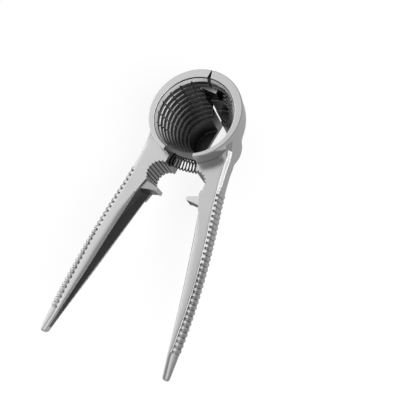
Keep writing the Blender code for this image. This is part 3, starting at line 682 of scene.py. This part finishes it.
def handleSection(distance, raised=0.0, nose=1.0):
    h = handle
    deep = thickness(distance)
    front = frontDepth(distance) + deep * (1 - nose) / 2
    deep *= nose
    inner, outer = innerEdge(distance), outerEdge(distance)
    middle = (inner + outer) / 2
    inner, outer = mix(middle, inner, nose), mix(middle, outer, nose)
    widest = front + deep * h["widest"]
    near = shoulderPlaces(distance, widest)
    share = handleShare(distance)
    innerFront = inner + h["setback"] * 4 * share * (1 - share) * nose
    far = frontPlaces(distance, innerFront, outer, sideWidth(distance) * nose, front, deep, widest, raised,
                      nose)
    turnedIn = ease(distance, h["shoulderTurn"], h["shoulderEnd"])
    places = [(mix(a[0], b[0], turnedIn), mix(a[1], b[1], turnedIn)) for a, b in zip(near, far)]
    tapered = outer - h["backSlope"] * (front + deep - widest)
    backX = max(tapered, mix(inner, outer, h["backLeast"]))
    corner = min(mm, deep * most["corner"])
    edge = min(h["edge"] * nose, most["edge"] * (backX - inner))
    back = front + deep
    places += [(mix(outer, backX, 0.5) + raised * rib["back"], mix(widest, back - corner, 0.5)),
               (backX, back - corner), (backX - knee * corner, back - knee * corner),
               (backX - corner, back), (inner + edge, back), (inner, back - edge)]
    return [(x, reach(distance), level(depth)) for x, depth in places]


def coveShare(centre):
    # 0 at the face's outer edge, 1 at the far side of the cove, 2 on the sides and the underside
    distance = cupY - centre.y
    if centre.z < level(frontDepth(distance) + 2 * handle["coveDepth"]):
        return 2
    face = outerEdge(distance) - sideWidth(distance)
    return (abs(centre.x) - face) / coveWidth(distance)


# where the cove and the ribs take painted highlight and painted shade: shares across the cove and along a
# rib's pitch
coveLightAndShade = dict(litEdge=0.16, ribbedEnd=0.95, plainEnd=0.98, plainStart=13 * mm, coveRib=0.6, beadRib=0.85,
              whiteRibs=14)


def coveMetal(face):
    # painted highlight on the cove, painted shade in the ribs' grooves, painted light on the first ribs'
    # crests; nothing on the polished rest
    f = coveLightAndShade
    share = coveShare(face.center)
    distance = cupY - face.center.y
    turn = (distance - handle["ribStart"]) / handle["ribPitch"]
    if 0 < turn < handle["ribs"]:
        if share <= f["litEdge"]:
            return "coveHighlight" if share > 0 else None
        if turn % 1 > (f["coveRib"] if share < 1 else f["beadRib"]):
            return "ribGrooveShade"
        if turn < f["whiteRibs"] and turn % 1 <= f["coveRib"] and share < f["ribbedEnd"]:
            return "litCasting"
    elif f["plainStart"] < distance < handle["ribStart"] and 0 < share < f["plainEnd"]:
        return "coveHighlight"


def handleSolid(h):
    rootCount, tailCount, noseCount = 30, 8, 9
    sections = [handleSection(mix(-h["shoulderStart"], h["ribStart"], index / rootCount))
                for index in range(rootCount)]
    for index in range(h["ribs"]):
        start = h["ribStart"] + index * h["ribPitch"]
        for share in rib["sections"]:
            raised = ease(share, 0, rib["rise"]) - ease(share, rib["fall"], rib["foot"])
            sections.append(handleSection(start + share * h["ribPitch"], h["ribHeight"] * raised))
    ribEnd = h["ribStart"] + h["ribs"] * h["ribPitch"]
    noseStart = handleEnd - h["nose"]
    sections += [handleSection(mix(ribEnd, noseStart, index / tailCount)) for index in range(tailCount)]
    for index in range(noseCount):
        angle = index / noseCount * math.pi / 2
        distance = noseStart + h["nose"] * math.sin(angle)
        sections.append(handleSection(distance, 0, math.cos(angle) ** h["noseShape"]))
    sections.append(handleSection(handleEnd, 0, math.cos(math.radians(h["noseTip"])) ** h["noseShape"]))
    made = skinOver(sections, "handleSolid", "polishedCasting")
    # painted shade in the ribs' grooves, painted light on the first ribs' crests, painted highlight along the
    # cove
    for metal in ("ribGrooveShade", "litCasting", "coveHighlight"):
        paintFaces(made, metal, lambda face: coveMetal(face) == metal)
    return made


# Channel in the handle's inner side
channel = dict(start=45.5 * mm, endMargin=3.4 * mm, plate=1.4 * mm, plateShare=0.2, web=0.9 * mm,
               endRadius=3.5 * mm, endOpening=0.55, soft=0.6 * mm)


def channelSection(distance, opening):
    plate = min(channel["plate"], channel["plateShare"] * thickness(distance))
    front = level(frontDepth(distance) + plate)
    back = level(frontDepth(distance) + thickness(distance) - plate)
    middle = (front + back) / 2
    half = (front - back) / 2 * opening
    outer = outerEdge(distance)
    far = outer - sideWidth(distance) - channel["web"]
    tapered = outer - handle["backSlope"] * thickness(distance) * (1 - handle["widest"])
    farBack = min(far, max(tapered, mix(innerEdge(distance), outer, handle["backLeast"])) - channel["web"])
    near = innerEdge(distance) - lug["tipX"]
    soft = min(channel["soft"], half * 0.4)
    high, low = middle + half, middle - half
    places = [(near, high), (far - soft, high), (far - knee * soft, high - knee * soft),
              (far, high - soft), (farBack, low + soft), (farBack - knee * soft, low + knee * soft),
              (farBack - soft, low), (near, low)]
    return [(x, reach(distance), z) for x, z in places]


def channelCutter(c):
    sections = []
    roundCount, runCount = 10, 24
    for index in range(roundCount + 1):
        share = index / roundCount
        opening = mix(c["endOpening"], 1, math.sqrt(1 - (1 - share) ** 2))
        sections.append(channelSection(c["start"] + c["endRadius"] * share, opening))
    for index in range(1, runCount + 1):
        distance = mix(c["start"] + c["endRadius"], handleEnd - c["endMargin"], index / runCount)
        sections.append(channelSection(distance, 1.0))
    # the channel's walls take the metal painted dark as shade
    return skinOver(sections, "channelCutter", "shadedChannel")


# Small ribbed jaw and pointed lug
jaw = dict(x=10.3 * mm, reach=36.3 * mm, radius=7.1 * mm, fromAngle=98, toAngle=-36, ribs=8,
           groove=0.7 * mm, buried=0.6, underRim=0.9)
lug = dict(tipX=9.0 * mm, tipReach=44.6 * mm, tipLength=1.8 * mm, tipDepth=17.8 * mm, tipHeight=8.0 * mm,
           baseFrom=40.6 * mm, baseTo=50.4 * mm, margin=1.2 * mm)


def jawOutline(j):
    # a ribbed arc in front, the rest buried in the cup and the handle
    fromAngle, toAngle = math.radians(j["fromAngle"]), math.radians(j["toAngle"])
    span = (toAngle - fromAngle) / j["ribs"]
    ribProfile = ((0.0, 0.12), (0.1, 0), (0.35, 0), (0.6, 0), (0.68, 0.12), (0.76, 1), (0.84, 1), (0.92, 1))
    arc = [(fromAngle + span * (index + share), j["radius"] + j["groove"] * cut)
           for index in range(j["ribs"]) for share, cut in ribProfile]
    arc.append((toAngle, j["radius"]))
    buried = cup["rimRadius"] * j["buried"]
    outline = [(0, reach(buried)), (0, reach(j["reach"] - j["radius"]))]
    outline += [(j["x"] + radius * math.cos(angle), reach(j["reach"] - radius * math.sin(angle)))
                for angle, radius in arc]
    outline.append((innerEdge(lug["baseTo"]), reach(lug["baseTo"])))
    for distance in (lug["baseTo"], cup["rimRadius"] * j["underRim"], buried):
        outline.append((outerEdge(distance) - sideWidth(distance) - mm, reach(distance)))
    return outline


def jawBlock():
    top = level(handle["front"])
    made = slab(jawOutline(jaw), top - handle["deepRoot"], top, "jawBlock", "polishedCasting")
    # the jaw's upright sides are painted darker as shade
    return paintFaces(made, "shadedSideCasting", lambda face: abs(face.normal.z) < 0.5)


def lugSolid(g):
    top = level(handle["front"])
    middle = top - handle["deepRoot"] / 2
    halfBase = handle["deepRoot"] / 2 - g["margin"]
    baseX = handle["innerRoot"] + 2 * g["margin"]
    tip = level(g["tipDepth"])
    near, far = g["tipReach"] - g["tipLength"] / 2, g["tipReach"] + g["tipLength"] / 2

    def corners(x, first, last, centre, half):
        return [(x, reach(distance), centre + side * half)
                for distance, side in ((first, 1), (last, 1), (last, -1), (first, -1))]

    return skinOver([corners(baseX, g["baseFrom"], g["baseTo"], middle, halfBase),
                     corners(g["tipX"], near, far, tip, g["tipHeight"] / 2)], "lug", "polishedCasting")


# Split between the halves, the spring's pockets, the hinge
split = dict(opening=math.radians(9.4), apex=28.0 * mm)
spring = dict(reach=25.6 * mm, depth=16.4 * mm, radius=3.4 * mm, wire=0.42 * mm, pitch=1.85 * mm, points=28,
              pocketRadius=4.2 * mm, pocketDepth=6.2 * mm)
hinge = dict(pinRadius=1.5 * mm, headRadius=2.4 * mm, headHeight=0.9 * mm, crown=0.35 * mm, cap=1.4 * mm,
             knuckle=3.6 * mm, clearance=0.3 * mm, earTop=4.2 * mm, earBottom=49.0 * mm,
             earFace=8.0 * mm, earSide=7.6 * mm, flatBottom=31.0 * mm, tongueTop=8.7 * mm,
             tongueHeight=9.5 * mm, tongueFace=7.0 * mm, tongueSide=5.5 * mm, tongueTail=5.1 * mm,
             tongueFlat=16.8 * mm, flatSide=3.4 * mm, flatFoot=1.36 * mm, earFlat=17.6 * mm,
             earFlatSide=6.84 * mm, turnGap=0.02 * mm, pocket=10.4 * mm, skin=math.radians(12),
             sweep=9.5 * mm, sweepTurn=math.radians(25.2), sweepRest=math.radians(11.5), segments=64)
sharpAngle, pinSharpAngle = math.radians(24), math.radians(35)


def splitKeeper():
    apex = Vector((0, cupY + split["apex"]))
    near = apex + Vector((math.sin(split["opening"]), -math.cos(split["opening"]))) * 2.5 * handleEnd
    back = apex.y + big
    outline = [tuple(apex), tuple(near), (near.x + big, near.y), (big * 2, back), (0, back)]
    # the split faces it leaves are painted darker as shade
    return slab(outline, -big, rimLevel + big, "splitKeeper", "shadedSideCasting")


def springPlace(angle, along=0.0, out=0.0, up=0.0):
    radius = spring["reach"] + split["apex"] + out
    x = radius * math.sin(angle) + along * math.cos(angle)
    y = reach(-split["apex"]) - radius * math.cos(angle) + along * math.sin(angle)
    return Vector((x, y, level(spring["depth"]) + up))


# the pocket's walls are painted dark as shade
def springPocket():
    radius, depth, count = spring["pocketRadius"], spring["pocketDepth"], 48
    angles = [2 * math.pi * index / count for index in range(count)]
    sections = [[springPlace(split["opening"], along, radius * math.cos(angle), radius * math.sin(angle))
                 for angle in angles] for along in (-2 * depth / 3, depth)]
    return skinOver(sections, "springPocket", "shadedCasting")


# knuckles and cutters by the pin leave faces painted dark as shade, unless given another metal
def knuckle(lowDepth, highDepth, radius, name, metal="shadedCasting"):
    low, high = level(lowDepth), level(highDepth)
    return turned(((0, low), (radius, low), (radius, high), (0, high)), lambda z: (0, pivot.y), name,
                  metal, hinge["segments"])


def closedPlace(x, y, side):
    # a place by the pin with the split closed, turned back to where its half rests when open
    angle = side * split["opening"]
    apexAway = split["apex"] - pivotReach
    away = y - apexAway
    return (x * math.cos(angle) - away * math.sin(angle),
            pivot.y + apexAway + x * math.sin(angle) + away * math.cos(angle))


# slabs by the pin are of the copy painted dark as shade
def closedSlab(points, lowDepth, highDepth, side, name):
    return slab([closedPlace(x, y, side) for x, y in points], level(lowDepth), level(highDepth), name,
                "shadedCasting")


def arcPoints(radius, start, end, count):
    angles = [mix(start, end, index / count) for index in range(count + 1)]
    return [(radius * math.cos(angle), pivot.y + radius * math.sin(angle)) for angle in angles]


def weld(body):
    # close the hairline seams that a Boolean leaves, before the next one
    meshData = bmesh.new()
    meshData.from_mesh(body.data)
    bmesh.ops.remove_doubles(meshData, verts=meshData.verts, dist=hair)
    bmesh.ops.dissolve_degenerate(meshData, edges=meshData.edges, dist=hair)
    bmesh.ops.holes_fill(meshData, edges=[edge for edge in meshData.edges if edge.is_boundary], sides=4)
    bmesh.ops.delete(meshData, geom=[edge for edge in meshData.edges if edge.is_wire], context="EDGES")
    meshData.to_mesh(body.data)
    meshData.free()


def cutBore(body):
    cut(body, knuckle(rimLevel + hinge["earBottom"], hinge["earTop"] + hinge["cap"],
                      hinge["pinRadius"] + hinge["clearance"], "bore"))


def addTongue(body):
    # room for the ears and for the turning tongue, the tongue itself, a flat below it, the bore
    g = hinge
    gap, below = g["clearance"], rimLevel + mm
    foot = g["tongueTop"] + g["tongueHeight"]
    cut(body, knuckle(below, g["earTop"] - gap, g["knuckle"] + gap, "room"))
    down = -math.pi / 2
    turnEnd = down - split["opening"] - g["sweepTurn"]
    sweep = arcPoints(g["sweep"], turnEnd, down, 16)
    sweep += arcPoints(g["knuckle"], down + g["sweepRest"], turnEnd - g["sweepRest"] + 2 * math.pi, 48)
    # the faces the sweep leaves are painted dark as shade
    cut(body, slab(sweep, level(below), level(foot - gap / 3), "sweep", "shadedCasting"))
    front, side = -g["tongueFace"], g["tongueSide"]
    turn = g["knuckle"] - g["turnGap"]
    outline = [(-g["tongueTail"], front - mm), (side, front - mm), (side, -side)]
    outline += cornerPoints((0, 0), turn, 0, 180, 24)
    outline.append((-g["tongueTail"], 0))
    tongue = closedSlab(outline, foot - gap, g["tongueTop"], -1, "tongue")
    # the tongue's top and bottom stay polished, its sides keep the copy painted dark as shade
    paintFaces(tongue, "polishedCasting", lambda face: abs(face.normal.z) > 0.5)
    join(body, tongue)
    flat = [(-g["flatSide"], front), (-g["flatFoot"], -g["tongueFlat"]), (2 * side, -g["tongueFlat"]),
            (2 * side, front)]
    cut(body, closedSlab(flat, foot + gap, g["tongueTop"] - gap, -1, "flat"))
    cutBore(body)


def earBlock():
    g = hinge
    slope = math.tan(split["opening"])
    gap = g["clearance"] / math.cos(split["opening"])
    apexY = cupY + split["apex"]
    front = -g["earFace"] - g["clearance"]
    backY = pivot.y - g["knuckle"] / 2
    middleX, middleY = closedPlace(0, front, 1)
    leftY = (middleY - slope * (middleX + slope * apexY - gap)) / (1 - slope * slope)
    outline = [closedPlace(g["earSide"], front, 1), closedPlace(g["earSide"], -g["knuckle"], 1),
               (gap - slope * (apexY - backY), backY), (gap - slope * (apexY - leftY), leftY)]
    # the block behind the cup is of the copy painted dark as shade
    return slab(outline, level(g["earBottom"]), level(g["tongueTop"] + g["tongueHeight"]), "earBlock",
                "shadedCasting")


def addEars(body):
    # the block behind the cup with a flat in front, both ears, the bore, the tongue's pocket
    g = hinge
    gap = g["clearance"]
    top, bottom = g["tongueTop"] - gap, g["tongueTop"] + g["tongueHeight"]
    front, side = -g["earFace"], g["earSide"]
    weld(body)
    join(body, earBlock())
    weld(body)
    flat = [(-side, -g["earFlat"]), (g["earFlatSide"], -g["earFlat"]), (side, front), (-side, front)]
    cut(body, closedSlab(flat, g["flatBottom"], bottom - 2 * gap, 1, "flat"))
    join(body, knuckle(g["earBottom"] - gap, g["earTop"], g["knuckle"], "ears", "polishedCasting"))
    weld(body)
    cutBore(body)
    weld(body)
    pocket = arcPoints(g["pocket"], -math.pi + g["skin"], -g["skin"], 36)
    pocket += arcPoints(g["knuckle"] + gap, 0, math.pi, 32)
    # the pocket's faces are painted dark as shade
    cut(body, slab(pocket, level(bottom), level(top), "pocket", "shadedCasting"))


def sided(piece, side):
    if side > 0:
        return piece
    flipped = mirrored(piece, piece.name)
    bpy.data.objects.remove(piece, do_unlink=True)
    return flipped


def finishLever(body, side):
    combine(body, sided(splitKeeper(), side), "INTERSECT")
    if side > 0:
        addEars(body)
    else:
        addTongue(body)
    cut(body, sided(springPocket(), side))
    join(body, sided(lugSolid(lug), side))
    cut(body, sided(channelCutter(channel), side))
    weld(body)
    body.data.shade_smooth()
    body.data.set_sharp_from_angle(angle=sharpAngle)
    even = body.modifiers.new("evenNormals", "WEIGHTED_NORMAL")
    even.keep_sharp = True


rightLever = cupEnvelope(cup)
rightLever.name = "rightLever"
join(rightLever, handleSolid(handle))
join(rightLever, jawBlock())
cut(rightLever, cupInside(cup))
leftLever = mirrored(rightLever, "leftLever")
print("plain lever made,", len(rightLever.data.polygons), "faces")
finishLever(rightLever, 1)
finishLever(leftLever, -1)
print("levers made,", len(rightLever.data.polygons), "and", len(leftLever.data.polygons), "faces")


def springCurve(s):
    # open helix along the bowed axis, straight inside the pockets
    radius = s["reach"] + split["apex"]
    halfCoil = radius * split["opening"] + s["pocketDepth"] - hinge["clearance"] - 2 * s["wire"]
    turns = 2 * halfCoil / s["pitch"]
    count = round(turns * s["points"])
    data = bpy.data.curves.new("springPath", "CURVE")
    data.dimensions = "3D"
    data.bevel_depth = s["wire"]
    data.bevel_resolution = 3
    data.use_fill_caps = True
    spline = data.splines.new("POLY")
    spline.points.add(count)
    for index, point in enumerate(spline.points):
        share = index / count
        run = mix(-halfCoil, halfCoil, share)
        bend = max(min(run / radius, split["opening"]), -split["opening"])
        angle = 2 * math.pi * turns * (share - 0.5) + math.pi / 2
        point.co = (*springPlace(bend, run - bend * radius, s["radius"] * math.cos(angle),
                                 s["radius"] * math.sin(angle)), 1)
    path = placed("springPath", data)
    mesh = bpy.data.meshes.new_from_object(path.evaluated_get(bpy.context.evaluated_depsgraph_get()))
    bpy.data.objects.remove(path, do_unlink=True)
    mesh.materials.clear()
    mesh.materials.append(metals["springWire"])
    mesh.shade_smooth()
    return placed("returnSpring", mesh)


def pinSolid(g):
    # head with a rounded edge, shank with a small nose
    top = level(g["earTop"] + g["cap"] + g["clearance"])
    seat = level(g["earBottom"] + g["clearance"])
    low, crown = seat - g["headHeight"], g["crown"]
    profile = [(0, low)] + cornerPoints((g["headRadius"] - crown, low + crown), crown, -90, 0, 6)
    profile += [(g["headRadius"], seat), (g["pinRadius"], seat), (g["pinRadius"], top - crown),
                (g["pinRadius"] - crown, top), (0, top)]
    made = turned(profile, lambda high: (0, pivot.y), "hingePin", "pinSteel", g["segments"])
    made.data.shade_smooth()
    made.data.set_sharp_from_angle(angle=pinSharpAngle)
    return made


returnSpring = springCurve(spring)
hingePin = pinSolid(hinge)
print("spring and pin made")

for piece, body, node, slotName in (
    (leftLever, "left_lever", "left_half", "cast_metal"),
    (rightLever, "right_lever", "right_half", "cast_metal"),
    (hingePin, "left_lever", "hinge_pin", "pin_steel"),
):
    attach(piece, body)
    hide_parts(node)
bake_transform(returnSpring)
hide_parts("compression_spring")


# Floor, lamps and room
floorSet = dict(size=6.0, colour=(0.9, 0.9, 0.9), roughness=0.9, shine=0.1, whitened=0.85, mirrored=0.46,
                mirroredShare=0.85)
lampSets = (
    dict(name="leftCard", place=(-0.8, -0.05, 0.12), aim=(0, -0.02, 0.03), size=(1.2, 0.5), power=1.35),
    dict(name="rightSoftbox", place=(0.62, -0.2, 0.7), aim=(0, 0.03, 0.04), size=(0.5, 0.5), power=9.0,
         mirrored=False),
    dict(name="leftSoftbox", place=(-0.76, 0.4, 0.9), aim=(0, 0, 0.04), size=(0.55, 0.55), power=0.1),
)
# the room's light comes from above left and falls off toward the far right
roomSet = dict(toward=(-0.84, 0.2, 0.5), dim=0.4, bright=1.08, start=0.3, end=0.9)


def makeFloor(f):
    paper = bpy.data.materials.new("floorPaper")
    paper.use_nodes = True
    tree = paper.node_tree
    shader = tree.nodes["Principled BSDF"]
    feed(tree, shader, {"Roughness": f["roughness"], "Specular IOR Level": f["shine"],
                        "Base Color": (*f["colour"], 1)})
    # the camera sees the paper whiter, with its shadows, and the metal mirrors it as a darker room
    surface = shader.outputs[0]
    seen = addNode(tree, "ShaderNodeLightPath", {})
    for ray, share, strength in (("Is Camera Ray", f["whitened"], 1.0),
                                 ("Is Glossy Ray", f["mirroredShare"], f["mirrored"])):
        glow = addNode(tree, "ShaderNodeEmission", {"Strength": strength})
        part = mathNode(tree, "MULTIPLY", seen.outputs[ray], share)
        blend = addNode(tree, "ShaderNodeMixShader", {"Fac": part, 1: surface, 2: glow.outputs[0]})
        surface = blend.outputs[0]
    tree.links.new(surface, tree.nodes["Material Output"].inputs["Surface"])
    meshData = bmesh.new()
    bmesh.ops.create_grid(meshData, x_segments=1, y_segments=1, size=f["size"] / 2)
    made = placedMesh(meshData, "floor", [paper])


def makeLamp(s):
    data = bpy.data.lights.new(s["name"], "AREA")
    data.shape = "RECTANGLE"
    data.size, data.size_y = s["size"]
    data.energy = s["power"]
    made = placed(s["name"], data)
    made.visible_glossy = s.get("mirrored", True)
    made.location = s["place"]
    away = Vector(s["place"]) - Vector(s["aim"])
    made.rotation_euler = away.to_track_quat("Z", "Y").to_euler()


def makeRoom(r):
    world = bpy.data.worlds.new("studio")
    bpy.context.scene.world = world
    world.use_nodes = True
    tree = world.node_tree
    backdrop = tree.nodes["Background"]
    direction = addNode(tree, "ShaderNodeTexCoord", {}).outputs["Generated"]
    across = vectorNode(tree, "DOT_PRODUCT", direction, tuple(Vector(r["toward"]).normalized()))
    fall = rangeNode(tree, across, r["start"], r["end"], r["dim"], r["bright"])
    # the camera sees a white backdrop past the floor
    seen = addNode(tree, "ShaderNodeLightPath", {})
    strength = mathNode(tree, "MAXIMUM", fall, seen.outputs["Is Camera Ray"])
    feed(tree, backdrop, {"Color": (1, 1, 1, 1), "Strength": strength})


makeFloor(floorSet)
for lampSet in lampSets:
    makeLamp(lampSet)
makeRoom(roomSet)
bpy.context.scene.view_settings.view_transform = "Standard"
print("floor, lamps and room made")
